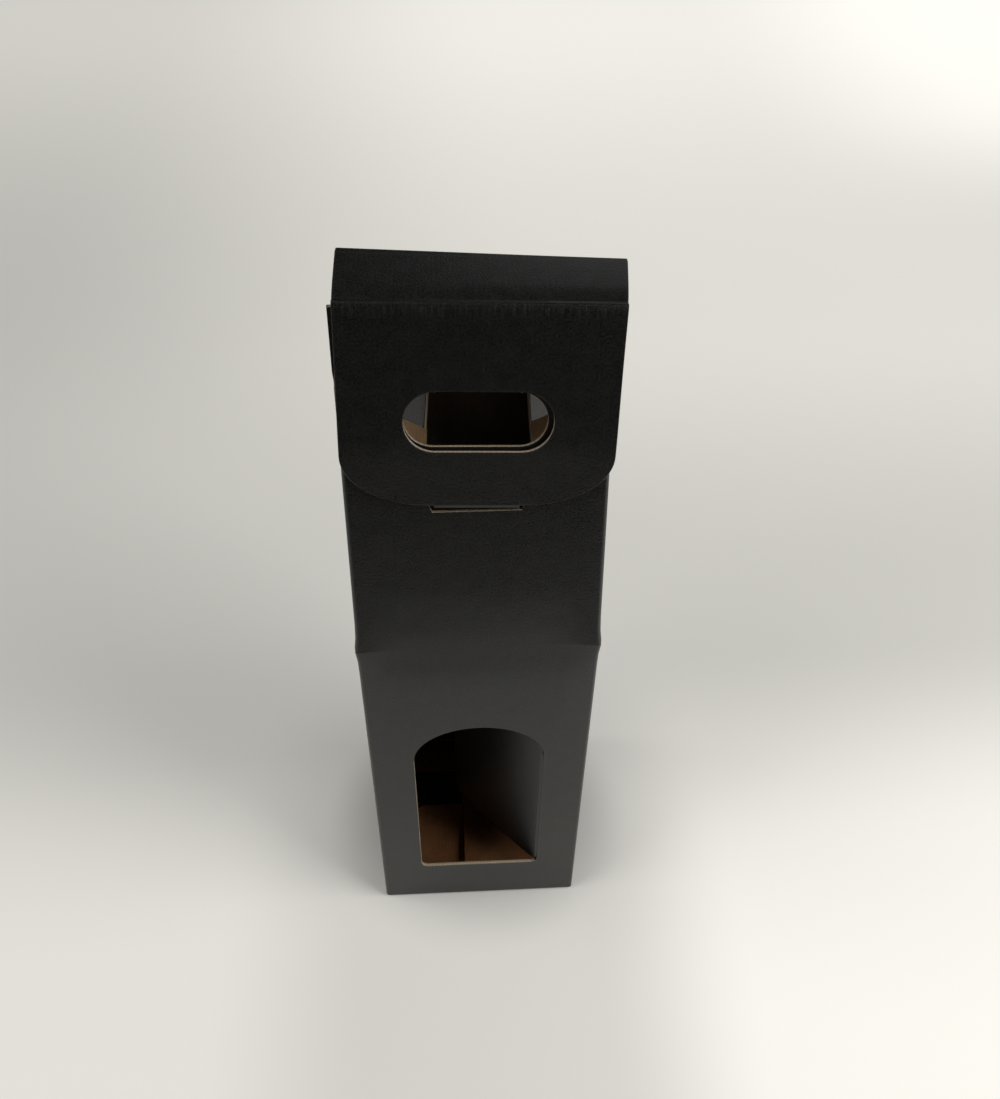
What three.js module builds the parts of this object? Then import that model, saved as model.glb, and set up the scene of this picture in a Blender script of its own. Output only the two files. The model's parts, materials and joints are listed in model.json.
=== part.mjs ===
// One-bottle wine gift carton, folded from a creased blank of corrugated board.
// Four walls stand on a lock base, two shoulders lean in to a narrow top, folded gussets close
// the sides, and a lid comes over from the back, hangs down the front and tucks into a slot.
// Millimetres, +Z up, the front faces -Y, and the origin is the middle of the base.
import * as THREE from "three";

// Board and clearances
const board = 1.5; // thickness of the corrugated board
const foldGap = 0.3; // clearance between two panels that meet at a crease
const cutGap = 0.3; // width of a die cut between two pieces
const lidGap = 0.3; // clearance between the closed lid and what it lies on

// Body
const boxWidth = 90;
const boxDepth = 90;
const wallHeight = 185; // base to shoulder crease
const shoulderLength = 131; // shoulder crease to top edge, along the slope
const topDepth = 28.5; // outside depth across the top edges of the two shoulders

// Side webs, measured along the shoulder edge that carries them
const webFold = THREE.MathUtils.degToRad(44.5); // fold between a shoulder's inward normal and a web
const webMeet = 1; // gap between the front and back web where they come closest
const webCrease = 1; // clearance along the slanting crease below a web
const frontWebInner = 76; // front web's height at its inner edge
const frontWebOuter = 98; // front web's height at the shoulder
const backWebInner = 112; // back web's height at its inner edge
const backWebOuter = 120; // back web's height at the shoulder
const webSag = 0.25; // share of the rise at which a web's curved top edge is steered

// Window and its flap
const windowWidth = 54;
const windowHeight = 107.5; // sill to crown
const windowSill = 28.5; // base to sill
const windowCorner = 3; // radius of the two lower corners
const windowRest = THREE.MathUtils.degToRad(45); // how far the window flap stands open

// Lid
const lidOverhang = 0.5; // how far the lid stands past the walls on each side
const flapLength = 70; // front fold to lower edge
const flapCorner = 19; // height of the flap's round lower corners
const flapFlat = 30; // straight stretch of the flap's lower edge

// Hand hole, through the flap and the front shoulder
const gripWidth = 49;
const gripHeight = 21;
const gripDrop = 39; // front fold to the middle of the hole, down the flap
const gripMargin = 0.75; // how much smaller the shoulder's hole is, all round
const gripRise = 1.2; // how much higher the shoulder's hole sits

// Tuck tab and its slot
const tabWidth = 29;
const tabLength = 9;
const tabCorner = 4; // radius of the tab's free corners
const slotSide = 1.8; // slot clearance beside the tab
const slotBelow = 1.4; // slot clearance under the tab
const slotAbove = 2.7; // slot clearance over the tab

// Lock base
const lockReach = 48; // front face to the end of the front flap's hook
const lockOver = 78; // back face to the end of the back flap's hook, which lies over the front flap
const lockShort = 22; // wall's face to the edge of a main flap's short half
const lockSeam = 7; // middle of the base to the seam between the hooks
const hookWidth = 22; // width of the front hook's end
const hookCorner = 5; // radius of a hook's outer corner
const lockShoulder = 10; // wall's face to where a hook's slanting side starts
const shortSlant = 6; // how far the short half's end slants in
const sideFlapEdge = 60; // length of a side flap's free edge
const sideSeam = 0.6; // gap between the two side flaps

// Glue flap, inside the back wall at the left corner
const glueWidth = 18;
const glueFoot = 6; // base to the glue flap's lower end
const glueHead = 6; // glue flap's upper end to the shoulder crease
const glueSlant = 5; // how far its free edge is cut back at both ends
const glueLine = 0.3; // thickness of the glue

// Worked out from the sizes above
const lean = Math.asin((boxDepth - topDepth) / 2 / shoulderLength);
const gussetTilt = Math.acos((1 - Math.sin(lean)) / Math.cos(lean));
const squareFold = Math.PI / 2;
const lidFold = squareFold - lean;
const halfWidth = boxWidth / 2;
const halfDepth = boxDepth / 2;
const innerStart = board + foldGap;
const lidWidth = boxWidth + 2 * lidOverhang;
const curveSteps = 16;

// Heights and lengths where the lid meets the shoulders
const lidFloor = wallHeight + shoulderLength * Math.cos(lean) + lidGap;
const lidHinge = shoulderLength + lidGap / Math.cos(lean) + board * Math.tan(lean);
const innerDepth = boxDepth - 2 * (lidFloor - wallHeight) * Math.tan(lean);
const lidSpan = innerDepth - (board - lidGap) / Math.cos(lean);
const flapTop = (lidFloor - wallHeight - lidGap * Math.sin(lean)) / Math.cos(lean);

// Looks
const blackFace = 0x2b2b2c;
const kraftFace = 0x97744d;
const boardRoughness = 0.75;

const carton = new THREE.Group();
carton.name = "wine_gift_carton";

// A flat outline cut from the board, with its inner face on the group's plane
function panel(parent, name, outline, colour) {
  const geometry = new THREE.ExtrudeGeometry(outline, {
    depth: board,
    bevelEnabled: false,
    curveSegments: curveSteps,
  });
  const material = new THREE.MeshStandardMaterial({
    color: colour,
    roughness: boardRoughness,
    metalness: 0,
  });
  const mesh = new THREE.Mesh(geometry, material);
  mesh.name = name;
  parent.add(mesh);
  return mesh;
}

// The same, with its outer face on the group's plane
function outerPanel(parent, name, outline, colour) {
  panel(parent, name, outline, colour).position.z = -board;
}

function polygon(points) {
  return new THREE.Shape(points.map(([x, y]) => new THREE.Vector2(x, y)));
}

function rectangle(left, right, low, high) {
  return polygon([
    [left, low],
    [right, low],
    [right, high],
    [left, high],
  ]);
}

// A slot with half-round ends
function stadium(middle, width, height) {
  const radius = height / 2;
  const run = width / 2 - radius;
  const path = new THREE.Shape();
  path.absarc(run, middle, radius, -Math.PI / 2, Math.PI / 2);
  path.absarc(-run, middle, radius, Math.PI / 2, 1.5 * Math.PI);
  path.closePath();
  return path;
}

// The round-headed window, drawn smaller by an inset for the flap that was cut from it
function windowOutline(inset) {
  const half = windowWidth / 2 - inset;
  const foot = windowSill + inset;
  const spring = windowSill + windowHeight - windowWidth / 2;
  const corner = windowCorner - inset;
  const path = new THREE.Shape();
  path.moveTo(corner - half, foot);
  path.lineTo(half - corner, foot);
  path.absarc(half - corner, foot + corner, corner, -Math.PI / 2, 0);
  path.lineTo(half, spring);
  path.absarc(0, spring, half, 0, Math.PI);
  path.lineTo(-half, foot + corner);
  path.absarc(corner - half, foot + corner, corner, Math.PI, 1.5 * Math.PI);
  path.closePath();
  return path;
}

// One side of the carton: local x runs along the wall, +y points in, and z is up
function side(turn, reach) {
  const group = new THREE.Group();
  group.rotation.z = turn;
  group.position.set(reach * Math.sin(turn), -reach * Math.cos(turn), 0);
  carton.add(group);
  return group;
}

// A plane folded inwards from the upright: local y runs up the panel, and z points out
function upright(parent, height, tilt) {
  const group = new THREE.Group();
  group.position.z = height;
  group.rotation.x = squareFold - tilt;
  parent.add(group);
  return group;
}

const front = side(0, halfDepth);
const right = side(squareFold, halfWidth);
const back = side(2 * squareFold, halfDepth);
const left = side(-squareFold, halfWidth);

// Walls
const frontWall = rectangle(-halfWidth, halfWidth, 0, wallHeight);
frontWall.holes.push(windowOutline(0));
outerPanel(upright(front, 0, 0), "front_wall", frontWall, blackFace);
const backWall = rectangle(-halfWidth, halfWidth, 0, wallHeight);
outerPanel(upright(back, 0, 0), "back_wall", backWall, blackFace);
const sideHalf = halfDepth - innerStart;
for (const [group, name] of [
  [left, "left_wall"],
  [right, "right_wall"],
]) {
  outerPanel(upright(group, 0, 0), name, rectangle(-sideHalf, sideHalf, 0, wallHeight), blackFace);
}

// Shoulders, leaning in from the tops of the front and back walls
const shoulderFoot = board * Math.tan(lean) + foldGap;
const frontSlope = upright(front, wallHeight, lean);
const backSlope = upright(back, wallHeight, lean);
const tabTop = flapTop - flapLength;
const gripMiddle = flapTop - gripDrop + gripRise;
const slotHalf = tabWidth / 2 + slotSide;
const frontShoulder = rectangle(-halfWidth, halfWidth, shoulderFoot, shoulderLength);
frontShoulder.holes.push(
  stadium(gripMiddle, gripWidth - 2 * gripMargin, gripHeight - 2 * gripMargin),
  rectangle(-slotHalf, slotHalf, tabTop - board - slotBelow, tabTop + slotAbove),
);
outerPanel(frontSlope, "front_shoulder", frontShoulder, blackFace);
const backShoulder = rectangle(-halfWidth, halfWidth, shoulderFoot, shoulderLength);
outerPanel(backSlope, "back_shoulder", backShoulder, blackFace);

// Webs, folded in from the shoulders' side edges: x runs from the edge to the middle of the side
const webStart = (board + foldGap + board * Math.sin(webFold)) / Math.cos(webFold);
const webRun = Math.cos(webFold) * Math.cos(lean);
const webEnd = (halfDepth - webMeet / 2 - frontWebInner * Math.sin(lean)) / webRun;

function web(slope, name, hand, innerHeight, outerHeight) {
  const group = new THREE.Group();
  group.position.x = hand * halfWidth;
  group.rotation.y = hand * (squareFold + webFold);
  slope.add(group);
  const outline = new THREE.Shape();
  outline.moveTo(hand * webStart, webStart + webCrease);
  outline.lineTo(hand * webEnd, webEnd + webCrease);
  outline.lineTo(hand * webEnd, innerHeight);
  const sagHeight = innerHeight + webSag * (outerHeight - innerHeight);
  outline.quadraticCurveTo((hand * (webStart + webEnd)) / 2, sagHeight, hand * webStart, outerHeight);
  outline.closePath();
  outerPanel(group, name, outline, blackFace);
}

web(frontSlope, "right_front_web", 1, frontWebInner, frontWebOuter);
web(frontSlope, "left_front_web", -1, frontWebInner, frontWebOuter);
web(backSlope, "left_back_web", 1, backWebInner, backWebOuter);
web(backSlope, "right_back_web", -1, backWebInner, backWebOuter);

// Gussets, folded in from the tops of the side walls and narrowing at 45 degrees
const gussetFoot = board * Math.tan(gussetTilt) + foldGap / Math.cos(gussetTilt);
const gussetBase = halfDepth - gussetFoot - webCrease;
const gussetTip = halfDepth - webEnd - webCrease;
for (const [group, name] of [
  [left, "left_gusset"],
  [right, "right_gusset"],
]) {
  const outline = polygon([
    [-gussetBase, gussetFoot],
    [gussetBase, gussetFoot],
    [gussetTip, webEnd],
    [-gussetTip, webEnd],
  ]);
  outerPanel(upright(group, wallHeight, gussetTilt), name, outline, blackFace);
}

// Lock base: the side flaps lie on the ground, the hooked front flap lies on them, and the back
// flap's hook lies on the front flap's short half
const mainHalf = halfWidth - innerStart;
const hookEnd = lockSeam + hookWidth;

function mainFlap(seam, reach) {
  const path = new THREE.Shape();
  path.moveTo(-mainHalf, innerStart);
  path.lineTo(mainHalf, innerStart);
  path.lineTo(mainHalf - shortSlant, lockShort);
  path.lineTo(seam, lockShort);
  path.lineTo(seam, reach);
  path.lineTo(hookCorner - hookEnd, reach);
  path.absarc(hookCorner - hookEnd, reach - hookCorner, hookCorner, Math.PI / 2, Math.PI);
  path.lineTo(-mainHalf, lockShoulder);
  path.closePath();
  return path;
}

panel(front, "base_front_flap", mainFlap(-lockSeam, lockReach), kraftFace).position.z = board;
panel(back, "base_back_flap", mainFlap(lockSeam - cutGap, lockOver), kraftFace).position.z = 2 * board;
for (const [group, name] of [
  [left, "base_left_flap"],
  [right, "base_right_flap"],
]) {
  const outline = polygon([
    [-sideHalf, innerStart],
    [sideHalf, innerStart],
    [sideFlapEdge / 2, halfWidth - sideSeam / 2],
    [-sideFlapEdge / 2, halfWidth - sideSeam / 2],
  ]);
  panel(group, name, outline, blackFace);
}

// Glue flap: carried round from the left wall and glued to the back wall
const glueSeat = new THREE.Group();
glueSeat.position.y = board + glueLine;
back.add(glueSeat);
const glueFree = mainHalf - glueWidth;
const glueTop = wallHeight - glueHead;
const glueOutline = polygon([
  [glueFree, glueFoot + glueSlant],
  [mainHalf, glueFoot],
  [mainHalf, glueTop],
  [glueFree, glueTop - glueSlant],
]);
outerPanel(upright(glueSeat, 0, 0), "glue_flap", glueOutline, kraftFace);

// Lid: its top hinges on the back shoulder's inner face, and y runs towards the front
const lid = new THREE.Group();
lid.position.set(0, lidHinge, -board);
lid.rotation.x = -lidFold;
backSlope.add(lid);
const lidHalf = lidWidth / 2;
panel(lid, "lid_top", rectangle(-lidHalf, lidHalf, foldGap, lidSpan - foldGap), blackFace);

// Lid flap: hangs from the front fold, and y runs down the front
const flap = new THREE.Group();
flap.position.y = lidSpan;
flap.rotation.x = -lidFold;
lid.add(flap);
const flapSide = flapLength - flapCorner;
const flapRound = lidHalf - flapFlat / 2;
const flapOutline = new THREE.Shape();
flapOutline.moveTo(lidHalf, foldGap);
flapOutline.lineTo(lidHalf, flapSide);
flapOutline.absellipse(flapFlat / 2, flapSide, flapRound, flapCorner, 0, Math.PI / 2);
flapOutline.lineTo(-flapFlat / 2, flapLength);
flapOutline.absellipse(-flapFlat / 2, flapSide, flapRound, flapCorner, Math.PI / 2, Math.PI);
flapOutline.lineTo(-lidHalf, foldGap);
flapOutline.closePath();
flapOutline.holes.push(stadium(gripDrop, gripWidth, gripHeight));
panel(flap, "lid_flap", flapOutline, blackFace);

// Tuck tab: folded square to the flap, and y runs into the slot
const tab = new THREE.Group();
tab.position.y = flapLength;
tab.rotation.x = -squareFold;
flap.add(tab);
const tabHalf = tabWidth / 2;
const tabOutline = new THREE.Shape();
tabOutline.moveTo(-tabHalf, foldGap);
tabOutline.lineTo(tabHalf, foldGap);
tabOutline.lineTo(tabHalf, tabLength - tabCorner);
tabOutline.absarc(tabHalf - tabCorner, tabLength - tabCorner, tabCorner, 0, Math.PI / 2);
tabOutline.lineTo(tabCorner - tabHalf, tabLength);
tabOutline.absarc(tabCorner - tabHalf, tabLength - tabCorner, tabCorner, Math.PI / 2, Math.PI);
tabOutline.closePath();
panel(tab, "tuck_tab", tabOutline, blackFace);

// Window flap: hinges on the inner face at the window's right side and stands open inwards
const windowHinge = new THREE.Group();
windowHinge.position.set(windowWidth / 2, board, 0);
windowHinge.rotation.z = -windowRest;
front.add(windowHinge);
const windowPlane = upright(windowHinge, 0, 0);
windowPlane.position.x = -windowWidth / 2;
panel(windowPlane, "window_flap", windowOutline(cutGap), blackFace);

export default carton;
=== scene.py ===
import json
import math

import bmesh
import bpy
import numpy as np
from mathutils import Matrix, Vector, noise


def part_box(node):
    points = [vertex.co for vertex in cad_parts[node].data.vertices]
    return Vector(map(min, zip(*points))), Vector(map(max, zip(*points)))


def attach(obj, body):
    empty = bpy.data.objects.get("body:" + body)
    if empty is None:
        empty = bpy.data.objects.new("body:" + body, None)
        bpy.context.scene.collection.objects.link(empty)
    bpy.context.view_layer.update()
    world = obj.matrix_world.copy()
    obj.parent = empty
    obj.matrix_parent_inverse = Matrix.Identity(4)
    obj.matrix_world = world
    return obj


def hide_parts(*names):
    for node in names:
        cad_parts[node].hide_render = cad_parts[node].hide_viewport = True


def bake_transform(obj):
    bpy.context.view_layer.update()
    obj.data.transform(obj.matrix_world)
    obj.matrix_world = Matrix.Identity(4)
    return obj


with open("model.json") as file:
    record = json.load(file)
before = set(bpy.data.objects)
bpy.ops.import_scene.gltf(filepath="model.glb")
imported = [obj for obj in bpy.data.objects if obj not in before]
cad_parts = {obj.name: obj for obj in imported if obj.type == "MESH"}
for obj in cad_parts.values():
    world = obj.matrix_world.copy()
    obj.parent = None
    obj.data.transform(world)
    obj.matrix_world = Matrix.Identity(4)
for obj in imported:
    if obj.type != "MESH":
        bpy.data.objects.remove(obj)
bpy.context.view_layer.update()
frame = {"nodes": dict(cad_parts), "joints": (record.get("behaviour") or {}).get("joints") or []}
mm = 0.001  # the carton is drawn in millimetres
up = Vector((0, 0, 1))
print("frame loaded with", len(frame["nodes"]), "panels")


def nodeBox(node):
    low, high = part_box(node)
    return low / mm, high / mm


# Main sizes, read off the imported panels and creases
hinges = {joint["name"]: Vector(joint["pos_m"]) / mm for joint in frame["joints"]}
wallLow, wallHigh = nodeBox("front_wall")
board = wallHigh.y - wallLow.y
halfWidth = wallHigh.x
halfDepth = -wallLow.y
wallTop = wallHigh.z
lidHigh = nodeBox("lid_top")[1]
backHinge = hinges["lid_top_crease"]
flapHinge = hinges["lid_flap_crease"]
tabHinge = hinges["tuck_tab_crease"]
windowHinge = hinges["window_flap_crease"]
lean = math.atan2(flapHinge.y - tabHinge.y, flapHinge.z - tabHinge.z)
flapLength = (flapHinge - tabHinge).length
shoulderLength = (nodeBox("front_shoulder")[1].z - wallTop) / math.cos(lean)
gussetTilt = math.acos((1 - math.sin(lean)) / math.cos(lean))

# How the board folds: radii are those of the outer face
folding = {
    "corner": 1.4,
    "foot": 1.2,
    "ramp": 12.0,
    "shoulder": 9.0,
    "frontShoulder": 230.0,  # the front bends widely, and is crisp only towards its corners
    "gusset": 2.5,
    "web": 1.75,
    "lid": 1.8,
    "tab": 2.2,
    "window": 1.9,
    "creaseFlat": 1.5,  # plain board on both sides of a moving crease
    "gap": 0.3,  # left by a cut between two panels
}

# How finely a panel is cut up before it is folded
cutting = {"grid": 6.0, "bendStep": 1.8, "fewest": 6, "onLine": 0.01, "merge": 0.03, "onSeam": 0.02}

# Raw edges: rounding, and the ragged strip of torn coat along a frayed one
rawEdge = {"round": 0.15, "fray": 0.5, "mean": 0.65, "swing": 0.7, "pitch": 0.9, "seed": 5.5}
sharpFold = math.radians(38)  # a harder turn is shaded as an edge
widestGap = 40.0  # up to which the distance to a fold or an edge is kept


def within(value, low=0, high=1):
    return min(max(value, low), high)


def fadeIn(value, low, high):
    share = within((value - low) / (high - low))
    return share * share * (3 - 2 * share)


def evenly(low, high, count):
    # Even steps from low to high, both ends with them
    return [low + (high - low) * k / count for k in range(count + 1)]


def gridLines(low, high, step=None):
    return evenly(low, high, max(1, round((high - low) / (step or cutting["grid"]))))[1:-1]


def leftOf(ahead):
    return Vector((-ahead.y, ahead.x))


def foldLine(corners, radii):
    # A section through folded board: the outer face's sharp corners, rounded at each fold
    points = [Vector(corner) for corner in corners]
    turns = []
    for before, here, after in zip(points, points[1:], points[2:]):
        come = (here - before).normalized()
        leave = (after - here).normalized()
        turns.append(math.atan2(come.x * leave.y - come.y * leave.x, come.dot(leave)))
    trims = [0.0] + [radius * math.tan(abs(turn) / 2) for radius, turn in zip(radii, turns)] + [0.0]
    legs = []
    run = 0.0
    for i, (first, last) in enumerate(zip(points, points[1:])):
        ahead = (last - first).normalized()
        plain = (last - first).length - trims[i] - trims[i + 1]
        stretches = [{"length": plain, "at": first + ahead * trims[i], "turn": 0.0, "trim": trims[i]}]
        if i < len(turns):
            stretches.append({"length": radii[i] * abs(turns[i]), "at": last - ahead * trims[i + 1],
                              "turn": turns[i], "radius": radii[i]})
        for stretch in stretches:
            legs.append({"start": run, "ahead": ahead, **stretch})
            run += stretch["length"]
    return legs


def onLine(legs, v, lift):
    # Point of the section at v along it, lifted off the outer face
    leg = next((leg for leg in reversed(legs) if v >= leg["start"]), legs[0])
    run = v - leg["start"]
    ahead, at = leg["ahead"], leg["at"]
    if leg["turn"]:
        radius = math.copysign(leg["radius"], leg["turn"])
        centre = at + leftOf(ahead) * radius
        ahead = Matrix.Rotation(run / radius, 2) @ ahead
        at = centre - leftOf(ahead) * radius
    else:
        at = at + ahead * run
    return at - leftOf(ahead) * lift


def alongLeg(legs, i, distance):
    # v at a distance from the sharp corner where straight leg i starts
    return legs[2 * i]["start"] + distance - legs[2 * i]["trim"]


def foldAt(legs, i, share=0.5):
    # v at a share of the way round fold i
    return legs[2 * i + 1]["start"] + legs[2 * i + 1]["length"] * share


def foldCuts(legs, i, count=None):
    # Lines across a fold, so that it bends smoothly
    count = count or max(cutting["fewest"], round(legs[2 * i + 1]["length"] / cutting["bendStep"]))
    return evenly(foldAt(legs, i, 0), foldAt(legs, i, 1), count)


def across(u, lift, ends, share):
    # A fold at a panel's side, there by a share: where u lands, and how far in
    side = ends[0] if u < 0 else ends[1]
    run = abs(u) - side["flat"]
    bend = share / side["radius"]
    if run <= 0 or bend < 0.01:
        return u, lift
    arc = min(run, side["turn"] / bend)
    angle = arc * bend
    x = side["flat"] + math.sin(angle) / bend + (run - arc) * math.cos(angle) + lift * math.sin(angle)
    inward = (math.cos(angle) - 1) / bend - (run - arc) * math.sin(angle) + lift * math.cos(angle)
    return math.copysign(x, u), inward


def sideEdge(end, share=1.0):
    return end["flat"] + end["radius"] * end["turn"] * share


def sideCuts(ends, count=5):
    # Lines along the folds at a panel's two sides
    first, last = (evenly(end["flat"], sideEdge(end), count) if end["turn"] else [] for end in ends)
    return [-x for x in first] + last


def gapTo(points, segments):
    # Distance from each point to the nearest of some straight segments
    best = np.full(len(points), widestGap)
    for first, second in segments:
        first = np.array(first)
        run = np.array(second) - first
        share = np.clip((points - first) @ run / (run @ run), 0, 1)
        best = np.minimum(best, np.linalg.norm(points - first - share[:, None] * run, axis=1))
    return best


def curve(middle, radii, start, end, count):
    # Points of an arc in degrees, both ends with it
    angles = [math.radians(angle) for angle in evenly(start, end, count)]
    return [(middle[0] + radii[0] * math.cos(a), middle[1] + radii[1] * math.sin(a)) for a in angles]


def sidesOf(ring):
    return list(zip(ring, ring[1:] + ring[:1]))


def level(half, v):
    return (-half, v), (half, v)


def flatBoard(sheet):
    # The outline and its holes, filled, and cut along the lines where the board bends
    flat = bmesh.new()
    for ring in [sheet["outline"]] + sheet.get("holes", []):
        for pair in sidesOf([flat.verts.new((u, v, 0)) for u, v in ring]):
            flat.edges.new(pair)
    bmesh.ops.triangle_fill(flat, edges=flat.edges[:], use_beauty=True, use_dissolve=False)
    for axis, lines in enumerate(sheet["cuts"]):
        normal = Vector((1 - axis, axis, 0))
        for line in lines:
            everything = flat.verts[:] + flat.edges[:] + flat.faces[:]
            bmesh.ops.bisect_plane(flat, geom=everything, dist=cutting["onLine"], plane_co=normal * line,
                                   plane_no=normal)
    bmesh.ops.remove_doubles(flat, verts=flat.verts[:], dist=cutting["merge"])
    flat.normal_update()
    for face in flat.faces:
        if face.normal.z < 0:
            face.normal_flip()
    flat.verts.index_update()
    return flat


def boardRim(flat, spots, seams):
    # Sides of the flat board, raw where no seam runs, and the ways in from the raw ones
    rim = []
    inward = {}
    for edge in flat.edges:
        if not edge.is_boundary:
            continue
        loop = edge.link_loops[0]
        ends = (loop.vert, loop.link_loop_next.vert)
        first, second = (vert.index for vert in ends)
        raw = gapTo(spots[[first, second]], seams).max() > cutting["onSeam"]
        rim.append((first, second, raw))
        if raw:
            way = leftOf((ends[1].co - ends[0].co).normalized())
            for index in (first, second):
                inward.setdefault(index, []).append(way)
    return rim, inward


def edgeInset(ways):
    # From a raw edge to where its rounding meets the faces
    if len(ways) < 2:
        return sum(ways, Vector((0, 0))) * rawEdge["round"]
    return (ways[0] + ways[1]) * rawEdge["round"] / max(1 + ways[0].dot(ways[1]), 0.6)


def shadeBoard(mesh):
    # Smooth faces, with sharp lines where the skin changes or the board turns hard
    tidy = bmesh.new()
    tidy.from_mesh(mesh)
    bmesh.ops.recalc_face_normals(tidy, faces=tidy.faces[:])
    for face in tidy.faces:
        face.smooth = True
    for edge in tidy.edges:
        looks = {face.material_index for face in edge.link_faces}
        edge.smooth = len(looks) == 1 and edge.calc_face_angle(0.0) < sharpFold
    tidy.to_mesh(mesh)
    tidy.free()


def nowhere(u, v):
    return 0


def cutBoard(name, sheet):
    # Cuts a panel from flat board, then folds it: black face, kraft face and raw edges
    flat = flatBoard(sheet)
    spots = np.array([vert.co[:2] for vert in flat.verts])
    faces = [[vert.index for vert in face.verts] for face in flat.faces]
    rim, inward = boardRim(flat, spots, sheet["seams"])
    flat.free()
    frayed = sheet.get("frayed", nowhere)
    points, grain, depth = [], [], []

    def place(u, v, drop):
        points.append(sheet["shape"](u, v, -drop) * mm)
        grain.append((u, v))
        depth.append(drop / board)
        return len(points) - 1

    outer, inner, upper, lower = {}, {}, {}, {}
    for index, (u, v) in enumerate(spots):
        ways = inward.get(index, [])
        inset = edgeInset(ways)
        torn = 1.0
        if ways and frayed(u, v):
            at = Vector((u * rawEdge["pitch"], v * rawEdge["pitch"], rawEdge["seed"]))
            ragged = rawEdge["mean"] + rawEdge["swing"] * noise.noise(at)
            torn = max(frayed(u, v) * rawEdge["fray"] / rawEdge["round"] * ragged, 1.0)
        outer[index] = place(u + inset.x * torn, v + inset.y * torn, 0)
        inner[index] = place(u + inset.x, v + inset.y, board)
        if ways:
            upper[index] = place(u, v, rawEdge["round"])
            lower[index] = place(u, v, board - rawEdge["round"])
    solid = [[outer[i] for i in face] for face in faces]
    solid += [[inner[i] for i in reversed(face)] for face in faces]
    skin = [0] * len(faces) + [1] * len(faces)
    for first, second, raw in rim:
        if raw:
            coat = 2 if frayed(*spots[first]) and frayed(*spots[second]) else 0
            for a, b, look in ((outer, upper, coat), (upper, lower, 2), (lower, inner, 1)):
                solid.append([a[second], a[first], b[first], b[second]])
                skin.append(look)
        else:
            start = [ring[first] for ring in (outer, upper, lower, inner) if first in ring]
            end = [ring[second] for ring in (inner, lower, upper, outer) if second in ring]
            solid.append(start + end)
            skin.append(sheet.get("cap", 0))

    mesh = bpy.data.meshes.new(name)
    mesh.from_pydata(points, [], solid)
    for material in sheet.get("skins", skins):
        mesh.materials.append(material)
    mesh.polygons.foreach_set("material_index", skin)
    layer = mesh.uv_layers.new(name="boardGrain")
    for loop in mesh.loops:
        u, v = grain[loop.vertex_index]
        layer.uv[loop.index].vector = (v, u) if sheet.get("turned") else (u, v)
    marks = {
        "rimGap": gapTo(np.array(grain), [(spots[a], spots[b]) for a, b, raw in rim if raw]),
        "foldGap": gapTo(np.array(grain), sheet.get("folds", sheet["seams"])),
        "tickGap": gapTo(np.array(grain), sheet.get("ticks", [])),
        "depth": np.array(depth),
    }
    for mark, values in marks.items():
        mesh.attributes.new(mark, "FLOAT", "POINT").data.foreach_set("value", values.astype(np.float32))
    shadeBoard(mesh)
    piece = bpy.data.objects.new(name, mesh)
    bpy.context.scene.collection.objects.link(piece)
    return piece


def makePanel(node, body, sheet):
    piece = cutBoard(node + "_board", sheet)
    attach(piece, body)
    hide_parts(node)


def finishCrease(piece, bodies, start, end):
    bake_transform(piece)


# Shader helpers
def newNode(tree, kind, values=None, **settings):
    node = tree.nodes.new("ShaderNode" + kind)
    for key, value in settings.items():
        setattr(node, key, value)
    for socket, value in (values or {}).items():
        if isinstance(value, bpy.types.NodeSocket):
            tree.links.new(value, node.inputs[socket])
        else:
            node.inputs[socket].default_value = value
    return node


def mathNode(tree, operation, first, second=0.0, third=0.0, clamp=False):
    values = {0: first, 1: second, 2: third}
    return newNode(tree, "Math", values, operation=operation, use_clamp=clamp).outputs[0]


def times(tree, first, second):
    return mathNode(tree, "MULTIPLY", first, second)


def sumOf(tree, shares, total=0.0):
    # Adds up values by their weights
    for value, weight in shares:
        total = mathNode(tree, "MULTIPLY_ADD", value, weight, total)
    return total


def rangeNode(tree, value, low, high, toLow=0.0, toHigh=1.0):
    values = {"Value": value, "From Min": low, "From Max": high, "To Min": toLow, "To Max": toHigh}
    return newNode(tree, "MapRange", values, interpolation_type="SMOOTHSTEP").outputs[0]


def noiseNode(tree, vector, scale, detail=2.0, roughness=0.5, distortion=0.0):
    values = {"Vector": vector, "Scale": scale, "Detail": detail, "Roughness": roughness}
    return newNode(tree, "TexNoise", {**values, "Distortion": distortion}).outputs[0]


def stretched(tree, sheet, u, v):
    return newNode(tree, "VectorMath", {0: sheet, 1: (u, v, 1.0)}, operation="MULTIPLY").outputs[0]


def marked(tree, mark):
    return newNode(tree, "Attribute", attribute_name=mark).outputs["Fac"]


def nearness(tree, mark, reach):
    # 1 on a marked line, 0 from its reach on
    return mathNode(tree, "SUBTRACT", 1.0, mathNode(tree, "DIVIDE", marked(tree, mark), reach), clamp=True)


def mixColours(tree, share, first, second):
    return newNode(tree, "Mix", {0: share, 6: first, 7: second}, data_type="RGBA").outputs[2]


def newGroup(name, sizes, outputs):
    # A group that takes the board's own coordinates and some sizes, and gives values
    tree = bpy.data.node_groups.new(name, "ShaderNodeTree")
    tree.interface.new_socket("Sheet", in_out="INPUT", socket_type="NodeSocketVector")
    for label, value in sizes.items():
        socket = tree.interface.new_socket(label, in_out="INPUT", socket_type="NodeSocketFloat")
        socket.default_value = value
    for label in outputs:
        tree.interface.new_socket(label, in_out="OUTPUT", socket_type="NodeSocketFloat")
    return tree, tree.nodes.new("NodeGroupInput").outputs, tree.nodes.new("NodeGroupOutput").inputs


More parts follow.
